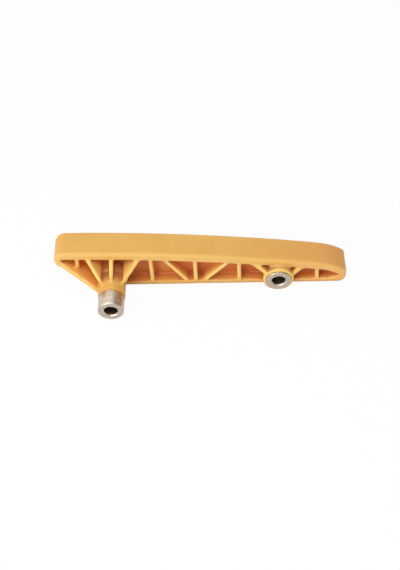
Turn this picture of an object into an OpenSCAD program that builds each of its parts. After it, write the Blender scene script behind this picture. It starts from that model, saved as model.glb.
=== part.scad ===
// Timing chain guide: a moulded rail with two steel bolt sleeves.
// X runs along the chain, Y along the bolts, Z up through the slide face.
// The origin is on the long sleeve's axis, in the middle plane of the rail.

/* [Slide face] */
// Width of the rail across the chain
rail_w = 18.5; // [16:0.5:24]
// Thickness of the slide under the chain
slide_t = 5.75; // [4.5:0.25:7]
// Radius of the slide face along the chain
slide_r = 1050; // [800:10:1600]
// Height of the slide face's crown above the sleeve axes
crown_z = 21.5; // [21:0.1:26]
// Place of the crown along the rail
crown_x = -24.5; // [-28:0.5:-10]
// Radius of the run-out at the tail
runout_r = 36; // [30:1:60]
// Length of the run-out, back from the tail end
runout_len = 17; // [12:0.5:22]
// Rounding of the slide face's long edges
edge_r = 1.5; // [0.5:0.1:2.5]

/* [Ends] */
// Reach of the head end in front of the long sleeve's axis
head_len = 35.5; // [32:0.5:45]
// Height of the head's end face
head_h = 10.5; // [9.5:0.1:12]
// Rounding of the head's top edge
head_r = 7; // [6:0.1:7.5]
// Rounding of the head's lower edge
head_low_r = 3; // [1:0.1:4]
// Reach of the tail end past the short sleeve's axis
tail_len = 43; // [40:0.5:50]
// Length of the solid tail behind the last pocket
tail_wall = 4; // [3:0.1:7]
// Rounding of the tail's upper edge
tail_top_r = 3.5; // [1:0.1:4]
// Rounding of the tail's lower edge
tail_low_r = 5; // [2:0.1:6]

/* [Sole and web] */
// Thickness of the sole, the lower flange
sole_t = 3; // [2.5:0.1:5]
// Rise of the sole from the long sleeve to the tail end
sole_rise = 1.9; // [0.5:0.1:2.5]
// Length of the ramp that closes the last pocket
ramp_len = 10; // [8:0.5:13]
// Thickness of the web in the middle plane
web_t = 4.5; // [3:0.1:6]

/* [Ribs] */
// Thickness of ribs and gussets
rib_t = 2.4; // [1.6:0.1:3]
// Distance of the upright ribs from the sleeve axes
post_x = 24.5; // [22:0.5:26]
// Distance of the short upright rib from the long sleeve's axis
head_post_x = 21.2; // [19:0.1:24]
// Reach of the sloping ribs' tops from the middle upright
slope_top_x = 19.3; // [15:0.1:21]
// Reach of the sloping ribs' feet from the middle upright
slope_foot_x = 5.4; // [4.5:0.1:10]
// Lean of the upright ribs, foot against top
post_lean = 0.8; // [0:0.1:1.5]

/* [Bosses] */
// Radius of the collar round each sleeve
collar_r = 9.6; // [9:0.1:10]
// Radius of the tube round the long sleeve
tube_r = 8.5; // [8.2:0.1:8.8]
// Reach of the long boss's collar in front of the rail
long_collar_out = 2.2; // [1:0.1:4]
// Reach of the short boss's collar in front of the rail
short_collar_out = 4.6; // [3:0.1:6]
// Reach of the long boss's tube in front of the rail
tube_out = 17.3; // [15:0.1:24]
// Rounding of the rims of the tube and the collars
rim_r = 0.7; // [0.2:0.1:1]
// Reach of the long boss's gussets along the tube
gusset_out = 12; // [8:0.5:14]
// Top of the long boss's gusset towards the head, from its axis
gusset_head_x = 15; // [12:0.1:16]
// Top of the long boss's gusset towards the tail, from its axis
gusset_tail_x = 16.8; // [15:0.1:19]
// Top of the short boss's gusset towards the head, from its axis
short_gusset_head_x = 15.8; // [13:0.1:17]
// Top of the short boss's gusset towards the tail, from its axis
short_gusset_tail_x = 14.7; // [13:0.1:17]
// Reach of the short boss's gussets along its collar
short_gusset_out = 3; // [1:0.1:3]
// Thickness of the sloping brace and of the head's wall
brace_t = 4.2; // [3:0.1:5]
// Reach of the sloping brace along the tube
brace_out = 13; // [8:0.5:15]
// Distance from the head end at which the brace starts to widen
wing_from = 4; // [1:0.5:8]

/* [Sleeves] */
// Distance between the two sleeve axes
sleeve_gap = 104; // [100:0.5:120]
// Radius of the bolt bore in each sleeve
bore_r = 4.2; // [3.2:0.1:4.5]
// Outer radius of the sleeves
sleeve_r = 8; // [7.6:0.1:8.2]
// Outer radius of the long sleeve's shank inside the tube
shank_r = 6.4; // [5.5:0.1:6.8]
// Length of the long sleeve's bare head
sleeve_head_len = 10.5; // [5:0.5:15]
// Length of the short sleeve's bare end
short_sleeve_out = 0.4; // [0.1:0.1:1]
// Length of both sleeves' bare ends behind the rail
sleeve_back_out = 0.5; // [0.1:0.1:1]
// Chamfer on the sleeves' outer edges
edge_chamfer = 0.3; // [0.2:0.1:0.6]
// Chamfer at the mouths of the sleeves' bores
bore_chamfer = 0.6; // [0.2:0.1:1]
// Clearance of the sleeves in their seats
seat_gap = 0.02; // [0.01:0.01:0.05]

/* [Hidden] */
$fn = 96;
// Fineness of the wide arcs of the slide
wide_fn = 360;
// Depth to which ribs and web reach into the slide and the sole
bury = 1.5;
// Overrun of cutting shapes
over = 1;
// Stand of a round corner's arc over the faces it meets, which blunts the waste cut off there
blunt = 0.01;
// Depth to which a face that runs up to a boss or a flange dips into it
dip = 0.2;
// Stand of the slide over the frame of ribs below it, and of both over what grows out of them
seam = 0.1;
// Angle by which the run-out laps into the slide
lap_a = 2;
// Number of steps along the web's upper edge
top_n = 12;
frame_w = rail_w - 2 * seam;
front_y = -frame_w / 2;
back_y = frame_w / 2;
head_end = -head_len;
frame_end = head_end + seam;
tail_end = sleeve_gap + tail_len;
mid_x = sleeve_gap / 2;
// Tops of the gussets at the two bosses
long_gussets = [-gusset_head_x, 0, gusset_tail_x];
short_gussets = [sleeve_gap - short_gusset_head_x, sleeve_gap + short_gusset_tail_x];
// Where the head's round top starts
round_x = head_end + head_r;

// Centres of the slide face's two arcs: along the chain and at the tail
face_c = [crown_x, crown_z - slide_r];
runout_a = asin((tail_end - runout_len - crown_x) / slide_r);
runout_c = face_c + (slide_r - runout_r) * [sin(runout_a), cos(runout_a)];

function arc_z(c, r, x) = c.y + sqrt(r * r - (x - c.x) * (x - c.x));
// Height of the slide's underside
function under_z(x) =
    x < face_c.x + (slide_r - slide_t) * sin(runout_a)
        ? arc_z(face_c, slide_r - slide_t, x)
        : arc_z(runout_c, runout_r - slide_t, x);
// Height of the sole's lower and upper faces
function sole_z(x) = sole_rise * x / tail_end + dip - collar_r;
function floor_z(x) = sole_z(x) + sole_t;
// Height, inside the slide, up to which web and walls reach
function root_z(x) = x < round_x ? crown_z - head_r : max(under_z(x) + bury, floor_z(x));

// Upper corner of the tail and the fall of the slide face there
tail_top_a = asin((tail_end - runout_c.x) / (runout_r - seam));
tail_top = runout_c + (runout_r - seam) * [sin(tail_top_a), cos(tail_top_a)];
// Lower corner of the tail and the sole's direction
tail_low = [tail_end, sole_z(tail_end)];
sole_u = [tail_end, sole_rise] / norm([tail_end, sole_rise]);

// The sloping brace runs from the head's lower edge to the tube's lower side
head_low = [frame_end, crown_z - head_h];
brace_r = tube_r - dip;
brace_a = atan2(-head_low.y, -head_low.x) - asin(brace_r / norm(head_low));
brace_u = [cos(brace_a), sin(brace_a)];
brace_n = [-brace_u.y, brace_u.x];
brace_end = head_low + brace_u * (sqrt(head_low * head_low - brace_r * brace_r) + over);
function brace_z(x) = head_low.y + (x - frame_end) * brace_u.y / brace_u.x + brace_t / brace_u.x;

// A side view drawn in X and Z becomes a solid between two planes across the rail
module across(y0, y1) {
    translate([0, y1, 0]) rotate([90, 0, 0]) linear_extrude(y1 - y0) children();
}

// A section drawn as radius and height becomes a round solid that starts at y and runs to the front
module turned(x, y) {
    translate([x, y, 0]) rotate([90, 0, 0]) rotate_extrude() children();
}

// Waste at a corner p between directions u and v, outside a rounding of radius r
module corner_waste(p, u, v, r) {
    half = acos(u * v) / 2;
    c = p + (u + v) / norm(u + v) * r / sin(half);
    run = r / tan(half);
    difference() {
        polygon([p - (u + v) * over, p + u * run - v * over, p + u * run, c,
            p + v * run, p + v * run - u * over]);
        translate(c) circle(r + blunt);
    }
}

// Section of the slide, with its face at radius r
module slide_section(r, t, w) {
    half = w / 2;
    translate([r - t, -half]) square([t - edge_r, w]);
    translate([r - t, edge_r - half]) square([t, w - 2 * edge_r]);
    for (s = [-1, 1]) translate([r - edge_r, s * (half - edge_r)]) circle(edge_r);
}

// Sweep of that section about an axis at c, from one angle off upright to another
module slide_sweep(c, r, t, w, a0, a1) {
    translate([c.x, 0, c.y]) rotate([90, 0, 0])
        rotate_extrude(angle = a0 - a1, start = 90 - a0, $fn = wide_fn) slide_section(r, t, w);
}

// Slide: round at the head, where the first pocket is cut out under it, level to the crown,
// then one wide arc and a tighter run-out
module slide() {
    tail_a = asin((tail_end + over - runout_c.x) / (runout_r - slide_t));
    difference() {
        slide_sweep([round_x, crown_z - head_r], head_r, head_r, rail_w, 0, -90);
        translate([head_end + brace_t, -rail_w, crown_z - head_r - over])
            cube([head_r, 2 * rail_w, head_r - slide_t + over]);
    }
    translate([crown_x, 0, 0]) rotate([0, -90, 0])
        linear_extrude(crown_x - round_x) slide_section(crown_z, slide_t, rail_w);
    slide_sweep(face_c, slide_r, slide_t, rail_w, 0, runout_a);
    intersection() {
        slide_sweep(runout_c, runout_r - seam, slide_t - 2 * seam, frame_w, runout_a - lap_a, tail_a);
        across(front_y - over, back_y + over)
            translate([tail_end - 2 * runout_len, -rail_w]) square([2 * runout_len, 3 * rail_w]);
    }
}

// Side view of all that lies below the slide
module side_view() {
    tops = [for (i = [0 : top_n]) let (x = round_x + (tail_end - round_x) * i / top_n) [x, root_z(x)]];
    polygon(concat([[frame_end, root_z(frame_end)]], tops, [tail_low, [0, sole_z(0)], brace_end, head_low]));
}

// Side view of a bar of thickness t between two points, run on at both ends
module bar(p, q, t, run) {
    u = (q - p) / norm(q - p);
    n = [-u.y, u.x] * t / 2;
    polygon([p - u * run - n, q + u * run - n, q + u * run + n, p - u * run + n]);
}

// Upright or sloping rib from the sole to the slide
module rib(top_x, foot_x) {
    bar([foot_x, floor_z(foot_x)], [top_x, under_z(top_x)], rib_t, bury);
}

module ribs() {
    for (x = [post_x, mid_x, sleeve_gap - post_x, sleeve_gap + post_x])
        rib(x - post_lean / 2, x + post_lean / 2);
    for (s = [-1, 1])
        rib(mid_x + s * slope_top_x + post_lean / 2, mid_x + s * slope_foot_x + post_lean / 2);
    bar([-head_post_x, brace_z(-head_post_x)], [-head_post_x, under_z(-head_post_x)], rib_t, bury);
}

// Side view of the sole: the sloping brace, the level flange, the head's wall and the closed tail
module sole() {
    ramp_x = tail_end - tail_wall - ramp_len;
    wall_x = tail_end - tail_wall;
    inner = head_low + brace_n * brace_t;
    polygon([head_low, brace_end, brace_end + brace_n * brace_t, inner + brace_u * brace_t,
        [head_end + brace_t, root_z(frame_end)], [frame_end, root_z(frame_end)]]);
    polygon([[0, sole_z(0)], [tail_end, sole_z(tail_end)], [tail_end, floor_z(tail_end)], [0, floor_z(0)]]);
    polygon([[ramp_x, sole_z(ramp_x) + dip], [tail_end, sole_z(tail_end)], [tail_end, root_z(tail_end)],
        [wall_x, root_z(wall_x)], [wall_x, under_z(wall_x)], [ramp_x, floor_z(ramp_x) - bury]]);
}

// Gusset from a boss to the slide at top_x, from the web to a front edge that slopes out along the boss
module gusset(axis_x, top_x, root_r, out) {
    top = [top_x - axis_x, under_z(top_x)];
    reach = norm(top);
    slope = out / (reach - root_r);
    translate([axis_x, 0, 0]) rotate([0, -atan2(top.y, top.x), 0])
        translate([0, 0, -rib_t / 2]) linear_extrude(rib_t)
            polygon([[root_r - over, 0], [root_r - over, front_y - out], [root_r, front_y - out],
                [reach + bury, front_y + bury * slope], [reach + bury, 0]]);
}

// Side view of the rib that stands behind a gusset
module back_rib(axis_x, top_x) {
    bar([axis_x, 0], [top_x, under_z(top_x)], rib_t, bury);
}

// Part of the sloping brace that reaches out in front of the rail, wider towards the tube
module brace_wing() {
    wing_x = head_end + wing_from;
    intersection() {
        across(front_y - brace_out - over, 0)
            bar(head_low + brace_n * brace_t / 2, brace_end + brace_n * brace_t / 2, brace_t - 2 * seam, 0);
        translate([0, 0, brace_end.y - over]) linear_extrude(head_low.y - brace_end.y + 2 * brace_t + over)
            polygon([[wing_x, 0], [wing_x, front_y], [brace_end.x, front_y - brace_out],
                [over, front_y - brace_out], [over, 0]]);
    }
}

// Waste outside the rounding of an upright edge of the head, below its round top
module head_edge_waste(side) {
    translate([0, 0, head_low.y - head_h]) linear_extrude(2 * head_h - head_r)
        corner_waste([frame_end, side * back_y], [1, 0], [0, -side], edge_r);
}

// Round boss from the back of the rail to a rounded rim in front
module boss(x, r, out) {
    len = frame_w + out;
    turned(x, back_y) {
        square([r - rim_r, len]);
        square([r, len - rim_r]);
        translate([r - rim_r, len - rim_r]) circle(rim_r);
    }
}

module guide_rail() {
    color("#E3AC57") difference() {
        union() {
            slide();
            across(-web_t / 2, web_t / 2) side_view();
            across(front_y, back_y) intersection() {
                side_view();
                union() {
                    sole();
                    ribs();
                }
            }
            brace_wing();
            boss(0, collar_r, long_collar_out);
            boss(0, tube_r, tube_out);
            boss(sleeve_gap, collar_r, short_collar_out);
            for (x = long_gussets) gusset(0, x, tube_r, gusset_out);
            for (x = short_gussets) gusset(sleeve_gap, x, collar_r, short_gusset_out);
            across(0, back_y) {
                for (x = long_gussets) back_rib(0, x);
                for (x = short_gussets) back_rib(sleeve_gap, x);
            }
        }
        across(front_y - over, back_y + over) {
            corner_waste(tail_top, [0, -1], [-cos(tail_top_a), sin(tail_top_a)], tail_top_r);
            corner_waste(tail_low, [0, 1], -sole_u, tail_low_r);
            corner_waste(head_low, [0, 1], brace_u, head_low_r);
        }
        for (s = [-1, 1]) head_edge_waste(s);
        turned(0, back_y + over) square([shank_r + seat_gap, frame_w + tube_out + 2 * over]);
        turned(sleeve_gap, back_y + over)
            square([sleeve_r + seat_gap, frame_w + short_collar_out + 2 * over]);
    }
}

// Section of a bored sleeve: a shank from the back and a head in front, all edges chamfered
module sleeve_section(shank_len, shank_rad, head_len) {
    len = shank_len + head_len;
    polygon([[bore_r, bore_chamfer], [bore_r + bore_chamfer, 0],
        [shank_rad - edge_chamfer, 0], [shank_rad, edge_chamfer],
        [shank_rad, shank_len], [sleeve_r, shank_len],
        [sleeve_r, len - edge_chamfer], [sleeve_r - edge_chamfer, len],
        [bore_r + bore_chamfer, len], [bore_r, len - bore_chamfer]]);
}

module long_sleeve() {
    color("#B9B4AA") turned(0, back_y + sleeve_back_out)
        sleeve_section(sleeve_back_out + frame_w + tube_out, shank_r, sleeve_head_len);
}

module short_sleeve() {
    color("#B9B4AA") turned(sleeve_gap, back_y + sleeve_back_out)
        sleeve_section(sleeve_back_out + frame_w + short_collar_out, sleeve_r,
            short_sleeve_out + edge_chamfer);
}

guide_rail();
long_sleeve();
short_sleeve();
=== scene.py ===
# %% [markdown]
# # A timing chain guide in amber nylon
# A chain guide steers the timing chain of an engine: the chain runs along its slide face.
# The real one is a single plastic moulding with two steel bolt sleeves held in it.
# The solids come from the CAD step, in metres, and they give every place and size.
# Here they get their soft corners, their finishes, and the light and camera of a product photograph.

# %% Load the solids
import math

import bpy
from mathutils import Matrix, Vector


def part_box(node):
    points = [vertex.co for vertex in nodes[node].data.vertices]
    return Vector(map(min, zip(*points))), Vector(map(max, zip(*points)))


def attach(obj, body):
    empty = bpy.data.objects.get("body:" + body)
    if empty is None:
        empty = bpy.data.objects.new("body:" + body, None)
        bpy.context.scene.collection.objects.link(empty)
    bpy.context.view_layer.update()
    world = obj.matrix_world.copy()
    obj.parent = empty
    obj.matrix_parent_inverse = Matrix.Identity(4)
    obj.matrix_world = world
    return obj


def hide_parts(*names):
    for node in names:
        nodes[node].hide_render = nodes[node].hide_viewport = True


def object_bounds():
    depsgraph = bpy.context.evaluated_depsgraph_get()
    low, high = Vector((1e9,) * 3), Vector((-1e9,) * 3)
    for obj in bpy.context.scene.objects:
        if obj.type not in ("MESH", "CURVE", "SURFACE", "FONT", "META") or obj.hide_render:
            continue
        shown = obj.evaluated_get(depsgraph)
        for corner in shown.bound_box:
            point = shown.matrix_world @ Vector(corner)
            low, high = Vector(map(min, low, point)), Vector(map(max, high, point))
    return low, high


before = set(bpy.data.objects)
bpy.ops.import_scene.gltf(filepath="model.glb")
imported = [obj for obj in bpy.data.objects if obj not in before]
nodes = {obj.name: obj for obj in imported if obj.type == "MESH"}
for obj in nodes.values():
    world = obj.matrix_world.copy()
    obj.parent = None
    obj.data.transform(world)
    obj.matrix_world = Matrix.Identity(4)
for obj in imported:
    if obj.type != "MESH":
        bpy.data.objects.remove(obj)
cad_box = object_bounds()
MM = 0.001
print("solids:", sorted(nodes))
print("box in mm:", [[round(c / MM, 2) for c in corner] for corner in cad_box])

# %% [markdown]
# The guide is injection moulded, so no edge on it is sharp: ribs, gussets and bosses all meet in small radii.
# A bevel on every edge would need clean edge loops, which a solid with so many crossing ribs doesn't have.
# A voxel remesh works on any closed solid: it skins the form with an even grid of small faces,
# and a light smoothing then rounds each edge and fills each inner corner, as the tool maker's radii do.
# Every operator acts on what is selected, and the loaded solids start out selected,
# so a helper picks exactly one object first. The solid's own notes stay with the solid.

# %% Copy the moulding's solid
SAME_POINT = 0.002 * MM


def pick(obj):
    if bpy.context.mode != "OBJECT":
        bpy.ops.object.mode_set(mode="OBJECT")
    bpy.ops.object.select_all(action="DESELECT")
    obj.select_set(True)
    bpy.context.view_layer.objects.active = obj


pick(nodes["guide_rail"])
bpy.ops.object.duplicate()
rail = bpy.context.active_object
rail.name = "guide_moulding"
rail.parent = None
for note in list(rail.keys()):
    del rail[note]
bpy.ops.object.mode_set(mode="EDIT")
bpy.ops.mesh.select_all(action="SELECT")
bpy.ops.mesh.remove_doubles(threshold=SAME_POINT)
bpy.ops.mesh.customdata_custom_splitnormals_clear()
bpy.ops.object.mode_set(mode="OBJECT")
print("merged solid:", len(rail.data.vertices), "points")

# %% Skin it and soften its edges
SKIN = 0.58 * MM
SOFTENING, SOFTENING_PASSES = 0.5, 2


def finish_modifier(obj, kind, **settings):
    pick(obj)
    mod = obj.modifiers.new(kind.lower(), kind)
    for setting, value in settings.items():
        setattr(mod, setting, value)
    bpy.ops.object.modifier_apply(modifier=mod.name)
    print(f"{obj.name}: {kind.lower()} gives {len(obj.data.polygons)} faces")


finish_modifier(rail, "REMESH", mode="VOXEL", voxel_size=SKIN, use_smooth_shade=True)
finish_modifier(rail, "SMOOTH", factor=SOFTENING, iterations=SOFTENING_PASSES)

# %% [markdown]
# The slide face is the one surface that the chain touches, and on the real part it is smooth and true.
# The solid's mesh is made of long flat strips there. More smoothing would round them, but the edges too,
# so the face's points are set back on the wide arc that they stand for.
# The skin may stand a hair outside the solid, so its points are also held inside the solid's box.

# %% True up the slide face
CROWN_X, CROWN_Z, FACE_R = -24.5 * MM, 21.5 * MM, 1050 * MM
FACE_HALF, FACE_FROM, FACE_TO = 7.4 * MM, -28.2 * MM, 129.5 * MM
NEAR_FACE = 0.3 * MM
rail_low, rail_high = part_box("guide_rail")
trued = 0
for v in rail.data.vertices:
    x, y, z = v.co
    if FACE_FROM < x < FACE_TO and abs(y) < FACE_HALF:
        arc = CROWN_Z - FACE_R + math.sqrt(FACE_R**2 - max(x - CROWN_X, 0) ** 2)
        if abs(z - arc) < NEAR_FACE:
            v.co.z = arc
            trued += 1
    for i in range(3):
        v.co[i] = min(max(v.co[i], rail_low[i]), rail_high[i])
print("points set on the slide arc:", trued)

# %% [markdown]
# Seen from above, both ends of the guide have round corners,
# so that the chain runs on and off without catching.
# A bevel would need one clean upright edge, and here many small faces meet at each corner.
# So each corner's square patch of points is drawn in to a quarter disc: a point keeps its direction
# from the patch's inner corner, and its distance becomes the longer of its two sides.

# %% Round the corners of both ends
HEAD_ROUND, TAIL_ROUND = 2.2 * MM, 1.5 * MM


def round_corners(end_x, outwards, radius):
    moved = 0
    for v in rail.data.vertices:
        along_x = (v.co.x - end_x) * outwards + radius
        across_y = abs(v.co.y) - (rail_high.y - radius)
        if along_x > 0 and across_y > 0:
            pull = max(along_x, across_y) / math.hypot(along_x, across_y)
            v.co.x = end_x + (along_x * pull - radius) * outwards
            v.co.y = math.copysign(across_y * pull + rail_high.y - radius, v.co.y)
            moved += 1
    print("points drawn in at x =", round(end_x / MM, 1), "mm:", moved)


round_corners(rail_low.x, -1, HEAD_ROUND)
round_corners(rail_high.x, 1, TAIL_ROUND)
pick(rail)
bpy.ops.object.shade_smooth()
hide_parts("guide_rail")
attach(rail, "root")

# %% [markdown]
# Each sleeve is turned on a lathe from steel bar, so it is made the same way here:
# half of its section is drawn as a loop of edges and spun about the bolt's axis.
# A cylinder with a hole cut through it would have the size, but each chamfer would then be work of its own.
# The long sleeve has a wide bare head and a thinner shank that the plastic tube hides.

# %% Section of a sleeve
BORE, SHANK, LONG_HEAD = 4.2 * MM, 6.4 * MM, 10.5 * MM
BORE_CHAMFER, EDGE_CHAMFER = 0.6 * MM, 0.3 * MM


def sleeve_section(ring, front, back, shank, head_length):
    rear = shank or ring
    loop = [(BORE, back - BORE_CHAMFER), (BORE + BORE_CHAMFER, back)]
    loop += [(rear - EDGE_CHAMFER, back), (rear, back - EDGE_CHAMFER)]
    if shank:
        loop += [(rear, front + head_length), (ring, front + head_length)]
    loop += [(ring, front + EDGE_CHAMFER), (ring - EDGE_CHAMFER, front)]
    loop += [(BORE + BORE_CHAMFER, front), (BORE, front + BORE_CHAMFER)]
    return loop


print("bolt bore in mm:", round(2 * BORE / MM, 2))

# %% Draw a section and spin it
SPIN_STEPS, SPUN_SEAM = 128, 0.005 * MM


def spin_section(name, loop, axis_x):
    bpy.ops.object.select_all(action="DESELECT")
    bpy.ops.mesh.primitive_plane_add(size=1 * MM, location=(0, 0, 0))
    sleeve = bpy.context.active_object
    sleeve.name = name
    bpy.ops.object.mode_set(mode="EDIT")
    bpy.ops.mesh.select_all(action="SELECT")
    bpy.ops.mesh.delete(type="VERT")
    bpy.ops.object.mode_set(mode="OBJECT")
    points = [(axis_x + r, y, 0) for r, y in loop]
    edges = [(i, (i + 1) % len(points)) for i in range(len(points))]
    sleeve.data.from_pydata(points, edges, [])
    bpy.ops.object.mode_set(mode="EDIT")
    bpy.ops.mesh.select_all(action="SELECT")
    bpy.ops.mesh.spin(steps=SPIN_STEPS, angle=2 * math.pi, center=(axis_x, 0, 0), axis=(0, 1, 0))
    bpy.ops.mesh.select_all(action="SELECT")
    bpy.ops.mesh.remove_doubles(threshold=SPUN_SEAM)
    bpy.ops.mesh.normals_make_consistent(inside=False)
    bpy.ops.object.mode_set(mode="OBJECT")
    return sleeve


print("a sleeve is spun in", SPIN_STEPS, "steps")

# %% [markdown]
# A lathe hand breaks every sharp edge with a touch of a file, and that thin band catches the light.
# A fine bevel on the spun form does the same. The angle limit keeps it off the round sides.

# %% Make both sleeves
BROKEN_EDGE, BROKEN_STEPS = 0.08 * MM, 3
SHARP_FROM, SMOOTH_UP_TO = math.radians(30), math.radians(50)


def make_sleeve(name, node, shank=None, head_length=0.0):
    low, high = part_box(node)
    axis_x, ring = (low.x + high.x) / 2, (high.x - low.x) / 2
    sleeve = spin_section(name, sleeve_section(ring, low.y, high.y, shank, head_length), axis_x)
    finish_modifier(
        sleeve,
        "BEVEL",
        width=BROKEN_EDGE,
        segments=BROKEN_STEPS,
        limit_method="ANGLE",
        angle_limit=SHARP_FROM,
    )
    pick(sleeve)
    bpy.ops.object.shade_smooth_by_angle(angle=SMOOTH_UP_TO)
    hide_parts(node)
    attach(sleeve, "root")
    return sleeve


long_sleeve = make_sleeve("long_sleeve_turned", "long_sleeve", SHANK, LONG_HEAD)
short_sleeve = make_sleeve("short_sleeve_turned", "short_sleeve")

# %% [markdown]
# A finish is a net of shader nodes. Wired one by one, even a plain mask takes half a page,
# so a few helpers each place one node, set or link its inputs, and hand back what it puts out.
# A ramp turns one range of numbers into another, and it may run downwards too.

# %% Helpers for shader nodes
def plug(tree, socket, value):
    if isinstance(value, tuple):
        socket.default_value = (*value, 1)
    elif isinstance(value, (int, float)):
        socket.default_value = value
    else:
        tree.links.new(value, socket)


def ramp(tree, value, low, high, bottom=0.0, top=1.0, smooth=False):
    node = tree.nodes.new("ShaderNodeMapRange")
    node.interpolation_type = "SMOOTHSTEP" if smooth else "LINEAR"
    inputs = {"Value": value, "From Min": low, "From Max": high, "To Min": bottom, "To Max": top}
    for label, setting in inputs.items():
        plug(tree, node.inputs[label], setting)
    return node.outputs["Result"]


def work_out(tree, operation, *values):
    node = tree.nodes.new("ShaderNodeMath")
    node.operation = operation
    for socket, value in zip(node.inputs, values):
        plug(tree, socket, value)
    return node.outputs["Value"]


def blend(tree, mask, first, second):
    node = tree.nodes.new("ShaderNodeMixRGB")
    for label, value in (("Fac", mask), ("Color1", first), ("Color2", second)):
        plug(tree, node.inputs[label], value)
    return node.outputs["Color"]


print("shader helpers:", [helper.__name__ for helper in (plug, ramp, work_out, blend)])

# %% [markdown]
# Nylon and steel need the same thing:
# a soft cloudiness that keeps a surface from looking drawn with one colour.
# It could be noise in each material, but as a shader group it is built once,
# and each material places it with its own scale and strength.

# %% Cloudiness group
CLOUD_DETAIL, CLOUD_ROUGHNESS = 4.0, 0.55
CLOUD_LOW, CLOUD_HIGH = 0.3, 0.7


def new_group(name, inputs, outputs):
    group = bpy.data.node_groups.new(name, "ShaderNodeTree")
    for label, value in inputs:
        socket = group.interface.new_socket(label, in_out="INPUT", socket_type="NodeSocketFloat")
        socket.default_value = value
    for label in outputs:
        group.interface.new_socket(label, in_out="OUTPUT", socket_type="NodeSocketFloat")
    return group, group.nodes.new("NodeGroupInput"), group.nodes.new("NodeGroupOutput")


cloud, cloud_in, cloud_out = new_group("cloudiness", [("Scale", 60.0), ("Strength", 0.1)], ["Gain", "Mask"])
cloud_coords = cloud.nodes.new("ShaderNodeTexCoord")
noise = cloud.nodes.new("ShaderNodeTexNoise")
noise.inputs["Detail"].default_value = CLOUD_DETAIL
noise.inputs["Roughness"].default_value = CLOUD_ROUGHNESS
cloud.links.new(cloud_coords.outputs["Object"], noise.inputs["Vector"])
cloud.links.new(cloud_in.outputs["Scale"], noise.inputs["Scale"])
spread = ramp(cloud, noise.outputs["Fac"], CLOUD_LOW, CLOUD_HIGH, -1.0, 1.0)
swing = work_out(cloud, "MULTIPLY", spread, cloud_in.outputs["Strength"])
cloud.links.new(work_out(cloud, "ADD", swing, 1.0), cloud_out.inputs["Gain"])
cloud.links.new(work_out(cloud, "MULTIPLY_ADD", spread, 0.5, 0.5), cloud_out.inputs["Mask"])
print("group:", cloud.name)

# %% [markdown]
# The plastic is natural amber nylon: satin, and a little translucent,
# so light runs a short way under its skin.
# Of that light red goes deepest, which gives the shaded side its warmth. One plain colour would look painted,
# so slow clouds shift it by a few percent. Towards the tail it is painted redder, as painted shade for the
# dimmer light there.

# %% Amber nylon
AMBER, PALE_AMBER, TAIL_SHADE_AMBER = (0.74, 0.4, 0.088), (0.8, 0.455, 0.11), (0.81, 0.355, 0.1)
SLOW_CLOUDS, REDDER_FROM, REDDER_SHARE = 45.0, 70 * MM, 0.6
LIGHT_UNDER_SKIN, LIGHT_DEPTH, DEPTH_OF_COLOURS = 0.25, 2.0 * MM, (1.0, 0.42, 0.12)
NYLON_IOR = 1.5


def new_material(name):
    mat = bpy.data.materials.new(name)
    mat.use_nodes = True
    return mat, mat.node_tree, mat.node_tree.nodes["Principled BSDF"]


def place_group(tree, group, **values):
    node = tree.nodes.new("ShaderNodeGroup")
    node.node_tree = group
    for label, value in values.items():
        node.inputs[label].default_value = value
    return node


nylon, tree, shader = new_material("amber_nylon")
shader.inputs["Subsurface Weight"].default_value = LIGHT_UNDER_SKIN
shader.inputs["Subsurface Radius"].default_value = DEPTH_OF_COLOURS
shader.inputs["Subsurface Scale"].default_value = LIGHT_DEPTH
shader.inputs["IOR"].default_value = NYLON_IOR
slow = place_group(tree, cloud, Scale=SLOW_CLOUDS)
clouded = blend(tree, slow.outputs["Mask"], AMBER, PALE_AMBER)
print("material:", nylon.name)

# %% Painted shade: redder towards the tail
coords = tree.nodes.new("ShaderNodeTexCoord")
axes = tree.nodes.new("ShaderNodeSeparateXYZ")
tree.links.new(coords.outputs["Object"], axes.inputs["Vector"])


def along(axis, low, high, top=1.0):
    return ramp(tree, axes.outputs[axis], low, high, 0.0, top, smooth=True)


# painted shade: the amber is painted redder towards the tail
amber = blend(tree, along("X", REDDER_FROM, rail_high.x, REDDER_SHARE), clouded, TAIL_SHADE_AMBER)
print("redder from", round(REDDER_FROM / MM), "to", round(rail_high.x / MM), "mm")

# %% [markdown]
# Thin walls of amber nylon are painted lighter, a painted glow for the light that gets right through them:
# the ribs' edges and the slide's rims are painted lighter than the thick slide.
# A wall's thickness could be painted by hand, rib by rib. Looking inwards, the ambient occlusion node
# finds it everywhere: it sees the points that have another side close behind them.
# Nothing shines through the sole, which lies on the floor,
# or through the long boss, which has steel behind its wall.

# %% Where steel is behind the wall
COLLAR, COLLAR_SKIN, HARD_EDGE = 9.6 * MM, 0.3 * MM, 1.1 * MM


def round_sleeve(node, edge):
    low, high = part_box(node)
    beside = work_out(tree, "SUBTRACT", axes.outputs["X"], (low.x + high.x) / 2)
    squares = [work_out(tree, "MULTIPLY", way, way) for way in (beside, axes.outputs["Z"])]
    radius = work_out(tree, "SQRT", work_out(tree, "ADD", *squares))
    return ramp(tree, radius, COLLAR + edge, COLLAR + COLLAR_SKIN, smooth=True)


over_steel = round_sleeve("long_sleeve", HARD_EDGE)
print("no glow within", round((COLLAR + COLLAR_SKIN) / MM, 1), "mm of the long sleeve's axis")

# %% Painted glow of thin walls
PAINTED_GLOW, GLOW_REACH, GLOW_SHARE = (0.96, 0.65, 0.185), 4.5 * MM, 0.75
THICK_WALL, THIN_WALL = 0.9, 0.3
GLOW_BEHIND = (-22 * MM, -18 * MM)
GLOW_ABOVE = (-7 * MM, -3 * MM)
PROBE_SAMPLES = 16


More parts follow.
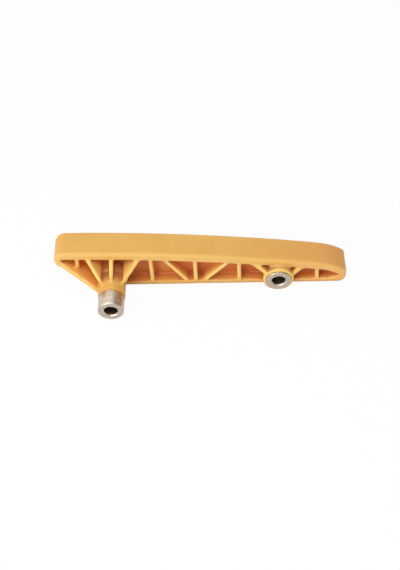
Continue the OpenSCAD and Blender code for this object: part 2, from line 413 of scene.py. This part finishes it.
def closeness(reach, open_at, shut_at, inwards=False, facing=None):
    probe = tree.nodes.new("ShaderNodeAmbientOcclusion")
    probe.only_local = True
    probe.inside = inwards
    probe.samples = PROBE_SAMPLES
    probe.inputs["Distance"].default_value = reach
    if facing:
        tree.links.new(facing, probe.inputs["Normal"])
    return ramp(tree, probe.outputs["AO"], open_at, shut_at, smooth=True)


lit_behind = work_out(tree, "MULTIPLY", along("Y", *GLOW_BEHIND), along("Z", *GLOW_ABOVE, GLOW_SHARE))
lit_behind = work_out(tree, "MULTIPLY", lit_behind, work_out(tree, "SUBTRACT", 1.0, over_steel))
thin = closeness(GLOW_REACH, THICK_WALL, THIN_WALL, inwards=True)
# painted glow: thin walls are painted lighter and yellower
amber = blend(tree, work_out(tree, "MULTIPLY", thin, lit_behind), amber, PAINTED_GLOW)
print("walls glow up to", GLOW_REACH / MM, "mm thick")

# %% [markdown]
# Three narrow bands differ from the rest. The slide's front rim is painted palest, a painted highlight.
# The low front of the sole is painted darker, as painted shade near the floor,
# and the plastic ends in a brown line where it meets the steel head.
# Each lies at one place on the part, so a ramp along one axis marks it.

# %% Painted rim highlight, painted shade on the low sole, end of the tube
RIM_HIGHLIGHT_AMBER, RIM_SHARE = (0.88, 0.64, 0.2), 0.22
RIM_GROWS, RIM_ENDS, RIM_ABOVE = (-7.6 * MM, -9.1 * MM), (-10.5 * MM, -9.5 * MM), (0.0, 5 * MM)
SOLE_SHADE_AMBER, SOLE_SHARE, SOLE_BELOW = (0.56, 0.29, 0.075), 0.6, (-4 * MM, -7.5 * MM)
TUBE_END_BROWN, TUBE_END_SHARE, TUBE_END = (0.5, 0.24, 0.06), 0.6, (-25.2 * MM, -26.2 * MM)
rim_front = work_out(tree, "MULTIPLY", along("Y", *RIM_GROWS), along("Y", *RIM_ENDS))
rim = work_out(tree, "MULTIPLY", rim_front, along("Z", *RIM_ABOVE, RIM_SHARE))
# painted highlight: the slide's front rim is painted paler
amber = blend(tree, rim, amber, RIM_HIGHLIGHT_AMBER)
# painted shade: the low front of the sole is painted darker
amber = blend(tree, along("Z", *SOLE_BELOW, SOLE_SHARE), amber, SOLE_SHADE_AMBER)
amber = blend(tree, along("Y", *TUBE_END, TUBE_END_SHARE), amber, TUBE_END_BROWN)
print("bands: front rim, low sole, end of the tube")

# %% [markdown]
# In the pockets between the ribs light has bounced from wall to wall, and each bounce makes the amber deeper.
# The lamps alone give the shade but not that change of colour, so it is painted shade: a deeper orange
# painted into the pockets.
# How deep a point lies is how little it sees of the space before it, so the probe is turned
# from the face's own direction towards the nearer open side, the front or the back.

# %% Look out of the pockets
POCKET_REACH, POCKET_OPEN, POCKET_SHUT = 18 * MM, 0.82, 0.52
TURN_TO_SIDE = 0.8


def vector_sum(operation, *vectors):
    node = tree.nodes.new("ShaderNodeVectorMath")
    node.operation = operation
    for socket, vector in zip(node.inputs, vectors):
        tree.links.new(vector, socket)
    return node.outputs["Vector"]


surface = tree.nodes.new("ShaderNodeNewGeometry")
nearer = tree.nodes.new("ShaderNodeCombineXYZ")
open_side = work_out(tree, "SIGN", axes.outputs["Y"])
tree.links.new(work_out(tree, "MULTIPLY", open_side, TURN_TO_SIDE), nearer.inputs["Y"])
outwards = vector_sum("NORMALIZE", vector_sum("ADD", surface.outputs["Normal"], nearer.outputs["Vector"]))
pocket = closeness(POCKET_REACH, POCKET_OPEN, POCKET_SHUT, facing=outwards)
print("pockets are felt over", POCKET_REACH / MM, "mm")

# %% [markdown]
# The painted shade is deepest on the web at the back of a pocket,
# and on the ribs' walls it fades towards their front edges, so each gets a share of its own.
# Towards the head the pockets open downwards along the brace, more light comes in,
# and their painted orange is brighter.

# %% Painted shade in the pockets
POCKET_SHADE_ORANGE, HEAD_POCKET_SHADE_ORANGE, HEADWARD = (0.66, 0.185, 0.042), (0.8, 0.25, 0.045), (5 * MM, -15 * MM)
WALL_TURN, WEB_TURN = 0.1, 0.8
WALL_BACK, WALL_FRONT, BACK_SHARE, FRONT_SHARE = 3 * MM, 9 * MM, 0.8, 0.4


def facing_across(tree):
    geometry = tree.nodes.new("ShaderNodeNewGeometry")
    turns = tree.nodes.new("ShaderNodeSeparateXYZ")
    tree.links.new(geometry.outputs["Normal"], turns.inputs["Vector"])
    return work_out(tree, "ABSOLUTE", turns.outputs["Y"])


web_share = ramp(tree, facing_across(tree), WALL_TURN, WEB_TURN, smooth=True)
from_middle = work_out(tree, "ABSOLUTE", axes.outputs["Y"])
wall_share = ramp(tree, from_middle, WALL_BACK, WALL_FRONT, BACK_SHARE, FRONT_SHARE)
pocket = work_out(tree, "MULTIPLY", pocket, work_out(tree, "MAXIMUM", web_share, wall_share))
painted_pocket_shade = blend(tree, along("X", *HEADWARD), POCKET_SHADE_ORANGE, HEAD_POCKET_SHADE_ORANGE)
# painted shade: the pockets are painted a deeper orange
amber = blend(tree, pocket, amber, painted_pocket_shade)
print("pocket colour from", POCKET_SHADE_ORANGE, "to", HEAD_POCKET_SHADE_ORANGE)

# %% [markdown]
# On top of the bosses, between their gussets and close under the slide, the amber is painted brown as painted
# shade.
# There a probe along the face's own direction meets the gussets and the slide.
# The sharp inner corners get a last touch of painted shade, in brown, with a probe of short reach.

# %% Painted shade on the bosses and in the inner corners
BOSS_SHADE_BROWN, BOSS_REACH, BOSS_OPEN, BOSS_SHUT = (0.4, 0.13, 0.03), 14 * MM, 0.95, 0.55
SOFT_EDGE, BOSS_TOP, BEFORE_WEB = 2.2 * MM, (3 * MM, 6.5 * MM), (-3 * MM, -5 * MM)
CORNER_SHADE_BROWN, CORNER_REACH, CORNER_OPEN, CORNER_SHUT = (0.4, 0.09, 0.025), 4 * MM, 0.75, 0.4
CORNER_SHARE = 0.32
long_top = work_out(tree, "MULTIPLY", round_sleeve("long_sleeve", SOFT_EDGE), along("Z", *BOSS_TOP))
on_boss = work_out(tree, "MAXIMUM", long_top, round_sleeve("short_sleeve", HARD_EDGE))
shade = work_out(tree, "MULTIPLY", closeness(BOSS_REACH, BOSS_OPEN, BOSS_SHUT), along("Y", *BEFORE_WEB))
# painted shade: boss tops under the slide are painted brown
amber = blend(tree, work_out(tree, "MULTIPLY", shade, on_boss), amber, BOSS_SHADE_BROWN)
corner = work_out(tree, "MULTIPLY", closeness(CORNER_REACH, CORNER_OPEN, CORNER_SHUT), CORNER_SHARE)
# painted shade: inner corners are painted brown
tree.links.new(blend(tree, corner, amber, CORNER_SHADE_BROWN), shader.inputs["Base Color"])
print("nylon's colour has", len(tree.nodes), "nodes")

# %% [markdown]
# The mould was spark eroded, which leaves a fine even grain on the plastic.
# As geometry it would take millions of faces, so one fine noise makes both the grain's bump
# and its small changes of gloss.

# %% Grain of the mould
FINE_CLOUDS, FINE_STRENGTH = 900.0, 0.12
SATIN = 0.46
GRAIN_STRENGTH, GRAIN_DEPTH = 0.08, 0.05 * MM


def bump(tree, height, strength, depth):
    node = tree.nodes.new("ShaderNodeBump")
    node.inputs["Strength"].default_value = strength
    node.inputs["Distance"].default_value = depth
    tree.links.new(height, node.inputs["Height"])
    return node.outputs["Normal"]


fine = place_group(tree, cloud, Scale=FINE_CLOUDS, Strength=FINE_STRENGTH)
tree.links.new(work_out(tree, "MULTIPLY", fine.outputs["Gain"], SATIN), shader.inputs["Roughness"])
tree.links.new(bump(tree, fine.outputs["Mask"], GRAIN_STRENGTH, GRAIN_DEPTH), shader.inputs["Normal"])
rail.data.materials.clear()
rail.data.materials.append(nylon)
print("nylon on", rail.name)

# %% [markdown]
# The sleeves are bare turned steel, and all their marks run round the bolt's axis.
# So the pattern's middle is moved to that axis with a Mapping node, and the distance from it
# tells the bore from the outside.

# %% Places on a sleeve
def sleeve_places(tree, node):
    low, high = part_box(node)
    coords = tree.nodes.new("ShaderNodeTexCoord")
    centre = tree.nodes.new("ShaderNodeMapping")
    centre.inputs["Location"].default_value = (-(low.x + high.x) / 2, 0, 0)
    tree.links.new(coords.outputs["Object"], centre.inputs["Vector"])
    axes = tree.nodes.new("ShaderNodeSeparateXYZ")
    tree.links.new(centre.outputs["Vector"], axes.inputs["Vector"])
    squares = [work_out(tree, "MULTIPLY", axes.outputs[way], axes.outputs[way]) for way in "XZ"]
    radius = work_out(tree, "SQRT", work_out(tree, "ADD", *squares))
    depth = work_out(tree, "SUBTRACT", axes.outputs["Y"], low.y)
    return centre.outputs["Vector"], radius, depth


print("bore of the sleeves ends at a radius of", BORE / MM, "mm")

# %% [markdown]
# Handling leaves dull, warm specks on the steel. Its flat ends are painted duller than its round sides, as
# painted shade.
# Inside the bore, behind a bright mouth, it is painted dark as painted shade.
# Each is a mask by place or direction over one plain steel, so the sleeves share all of it.

# %% Colour of the steel
DULL_SPECK, BRIGHT_STEEL = (0.43, 0.365, 0.29), (0.85, 0.745, 0.615)
END_SHADE_STEEL, END_SHARE, SIDE_TURN, END_TURN = (0.41, 0.35, 0.285), 0.4, 0.75, 0.95
BORE_SHADE, BORE_OUTSIDE, BORE_INSIDE = (0.3, 0.26, 0.18), BORE + 0.15 * MM, BORE + 0.05 * MM
MOUTH_DEPTH, BORE_SHADE_DEPTH = 0.7 * MM, 2.4 * MM


def steel_colour(tree, specks, radius, depth):
    steel = blend(tree, specks, DULL_SPECK, BRIGHT_STEEL)
    flat_end_shade = ramp(tree, facing_across(tree), SIDE_TURN, END_TURN, 0.0, END_SHARE)
    # painted shade: the flat ends are painted darker
    steel = blend(tree, flat_end_shade, steel, END_SHADE_STEEL)
    inside = ramp(tree, radius, BORE_OUTSIDE, BORE_INSIDE)
    behind_mouth = ramp(tree, depth, MOUTH_DEPTH, BORE_SHADE_DEPTH)
    # painted shade: the bore is painted dark behind its mouth
    return blend(tree, work_out(tree, "MULTIPLY", inside, behind_mouth), steel, BORE_SHADE)


# where the painted shade in the bore starts
print("oil starts", MOUTH_DEPTH / MM, "mm inside the bore")

# %% [markdown]
# The cutting tool leaves fine rings on the flat ends as well as on the round sides.
# They are far finer than a pixel, so a ring wave in the bump is enough:
# it spreads the light across the rings.

# %% Put the steel on both sleeves
SPECK_CLOUDS, SPECK_STRENGTH, STEEL_ROUGHNESS = 1100.0, 0.2, 0.36
RING_SCALE, RING_WANDER, RING_DETAIL = 700.0, 1.5, 2.0
RING_STRENGTH, RING_DEPTH = 0.15, 0.05 * MM


def lathe_rings(tree, centred):
    rings = tree.nodes.new("ShaderNodeTexWave")
    rings.wave_type = "RINGS"
    rings.rings_direction = "Y"
    rings.inputs["Scale"].default_value = RING_SCALE
    rings.inputs["Distortion"].default_value = RING_WANDER
    rings.inputs["Detail"].default_value = RING_DETAIL
    tree.links.new(centred, rings.inputs["Vector"])
    return bump(tree, rings.outputs["Fac"], RING_STRENGTH, RING_DEPTH)


def steel_on(sleeve, node):
    mat, tree, shader = new_material("turned_steel_" + node.split("_")[0])
    shader.inputs["Metallic"].default_value = 1.0
    centred, radius, depth = sleeve_places(tree, node)
    specks = place_group(tree, cloud, Scale=SPECK_CLOUDS, Strength=SPECK_STRENGTH)
    tree.links.new(steel_colour(tree, specks.outputs["Mask"], radius, depth), shader.inputs["Base Color"])
    gloss = work_out(tree, "MULTIPLY", specks.outputs["Gain"], STEEL_ROUGHNESS)
    tree.links.new(gloss, shader.inputs["Roughness"])
    tree.links.new(lathe_rings(tree, centred), shader.inputs["Normal"])
    sleeve.data.materials.clear()
    sleeve.data.materials.append(mat)
    print("steel on", sleeve.name)


steel_on(long_sleeve, "long_sleeve")
steel_on(short_sleeve, "short_sleeve")

# %% [markdown]
# A product photograph on white: the guide lies on a white floor, a plain plane at the solids' lowest point.
# More light would make the floor white but would burn out the amber, so to the camera it mostly glows,
# and the rest of it is lit, so that a soft shadow stays.
# The steel sees more of the lit floor, with that shadow, which gives its round sides some form.

# %% Floor
FLOOR_SIZE, FLOOR_WHITE = 6.0, 0.9
GLOW_TO_CAMERA, GLOW_TO_STEEL = 0.94, 0.3
bpy.ops.object.select_all(action="DESELECT")
bpy.ops.mesh.primitive_plane_add(size=FLOOR_SIZE, location=(0, 0, cad_box[0].z))
floor = bpy.context.active_object
floor.name = "floor"
white, floor_tree, unused_shader = new_material("white_floor")
floor_tree.nodes.remove(unused_shader)
lit = floor_tree.nodes.new("ShaderNodeBsdfDiffuse")
lit.inputs["Color"].default_value = (FLOOR_WHITE, FLOOR_WHITE, FLOOR_WHITE, 1)
glow = floor_tree.nodes.new("ShaderNodeEmission")
glow.inputs["Color"].default_value = (1, 1, 1, 1)
rays = floor_tree.nodes.new("ShaderNodeLightPath")
to_camera = work_out(floor_tree, "MULTIPLY", rays.outputs["Is Camera Ray"], GLOW_TO_CAMERA)
to_steel = work_out(floor_tree, "MULTIPLY", rays.outputs["Is Glossy Ray"], GLOW_TO_STEEL)
both = floor_tree.nodes.new("ShaderNodeMixShader")
floor_tree.links.new(work_out(floor_tree, "MAXIMUM", to_camera, to_steel), both.inputs["Fac"])
floor_tree.links.new(lit.outputs["BSDF"], both.inputs[1])
floor_tree.links.new(glow.outputs["Emission"], both.inputs[2])
floor_tree.links.new(both.outputs["Shader"], floor_tree.nodes["Material Output"].inputs["Surface"])
floor.data.materials.append(white)
print("floor at", round(cad_box[0].z / MM, 2), "mm")

# %% [markdown]
# The room round the table is dim and even, so that the lamps can shape the part.
# The camera sees it white, as the backdrop is, and the steel sees it white on the left
# and darker on the right, as beside a window. A built room would do the same with far more to render.

# %% Room
AMBIENT, DIM_SIDE, BRIGHT_SIDE = 0.55, 0.3, 1.2
DIM_FROM, BRIGHT_FROM = 0.65, -0.1
world = bpy.data.worlds.new("studio")
bpy.context.scene.world = world
world.use_nodes = True
room = world.node_tree
sky = room.nodes["Background"]
sky.inputs["Color"].default_value = (1, 1, 1, 1)
toward = room.nodes.new("ShaderNodeTexCoord")
directions = room.nodes.new("ShaderNodeSeparateXYZ")
room.links.new(toward.outputs["Generated"], directions.inputs["Vector"])
rays = room.nodes.new("ShaderNodeLightPath")
window = ramp(room, directions.outputs["X"], DIM_FROM, BRIGHT_FROM, DIM_SIDE, BRIGHT_SIDE, smooth=True)
to_steel = ramp(room, rays.outputs["Is Glossy Ray"], 0.0, 1.0, AMBIENT, window)
to_camera = ramp(room, rays.outputs["Is Camera Ray"], 0.0, 1.0, to_steel, 1.0)
room.links.new(to_camera, sky.inputs["Strength"])
print("room light", AMBIENT)

# %% [markdown]
# Two soft lamps do most of the work. A small one hangs high over the part,
# so the slide throws its shadow into the pockets. A wide one stands in front on the left, as a window would,
# lights the front of the ribs, and leaves the right sides of the bosses a little darker.

# %% Lamps
MIDDLE = (0.05, 0.0, 0.005)
CEILING_AT, CEILING_SIZE, CEILING_WATTS = (0.03, -0.2, 0.8), 0.3, 1.6
WINDOW_AT, WINDOW_SIZE, WINDOW_WATTS = (-0.55, -0.6, 0.535), 0.7, 5.0


def soft_lamp(name, stands_at, size, watts):
    data = bpy.data.lights.new(name, "AREA")
    data.shape = "SQUARE"
    data.size = size
    data.energy = watts
    lamp = bpy.data.objects.new(name, data)
    bpy.context.scene.collection.objects.link(lamp)
    lamp.location = stands_at
    lamp.rotation_euler = (Vector(MIDDLE) - Vector(stands_at)).to_track_quat("-Z", "Y").to_euler()
    print("lamp", name, watts, "W")


soft_lamp("ceiling", CEILING_AT, CEILING_SIZE, CEILING_WATTS)
soft_lamp("window", WINDOW_AT, WINDOW_SIZE, WINDOW_WATTS)

# %% [markdown]
# The camera stands where the photograph's did. Its place, angles and focal length can't be guessed closely
# enough by eye, so they were fitted to the outlines of both sleeve ends and the rail,
# for an image 400 wide and 570 high.
# The angles are in radians, and the focal length is in that image's pixels.

# %% Camera
TURN, TILT, ROLL = 0.0107267, 0.9057132, -0.0011845
CAMERA_AT = Vector((50.754, -387.358, 472.282)) * MM
FOCAL_PX, HIGH_PX, SENSOR = 961.8, 570, 36.0
ahead = Vector((math.sin(TURN) * math.cos(TILT), math.cos(TURN) * math.cos(TILT), -math.sin(TILT)))
level = Vector((math.cos(TURN), -math.sin(TURN), 0))
upright = level.cross(ahead)
right = level * math.cos(ROLL) + upright * math.sin(ROLL)
up = upright * math.cos(ROLL) - level * math.sin(ROLL)
lens = bpy.data.cameras.new("camera")
lens.sensor_width = SENSOR
lens.lens = SENSOR * FOCAL_PX / HIGH_PX
camera = bpy.data.objects.new("camera", lens)
bpy.context.scene.collection.objects.link(camera)
camera.matrix_world = Matrix((right, up, -ahead)).transposed().to_4x4()
camera.location = CAMERA_AT
bpy.context.scene.camera = camera
bpy.context.scene.view_settings.view_transform = "Standard"
print("focal length in mm:", round(lens.lens, 2))

# %% [markdown]
# Last, the scene is brought up to date. No finish may reach outside the
# solids.

# %% Bring the scene up to date
bpy.context.view_layer.update()
